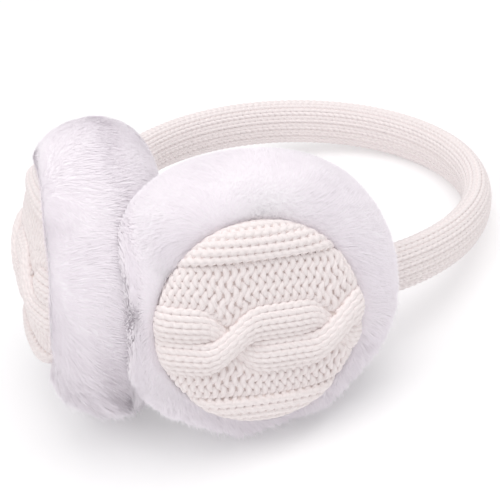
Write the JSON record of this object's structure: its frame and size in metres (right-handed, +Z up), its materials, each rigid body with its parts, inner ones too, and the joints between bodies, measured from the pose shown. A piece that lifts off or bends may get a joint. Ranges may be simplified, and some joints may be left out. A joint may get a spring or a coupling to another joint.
{
  "type": "earmuffs",
  "caption": "Cable-knit earmuffs lying at rest: a padded knitted headband sprung into a ring, with thick round plush pads and domed knit covers at its ends.",
  "frame": {"origin": "on the surface that the earmuffs lie on, under the middle of their bounding box", "axes": "+Z up from the surface, +Y towards the crown of the headband, +X towards the pad worn on the right ear"},
  "size_m": [0.1494, 0.2034, 0.0973],
  "materials": {
    "band_knit": "matte plain-knit yarn, warm off-white",
    "cable_knit": "matte cable-knit yarn, warm off-white",
    "plush_pile": "deep soft plush pile, cool white"
  },
  "bodies": {
    "root": {"headband": "band_knit", "plush_pad_right": "plush_pile", "knit_dome_right": "cable_knit", "plush_pad_left": "plush_pile", "knit_dome_left": "cable_knit"}
  },
  "joints": []
}
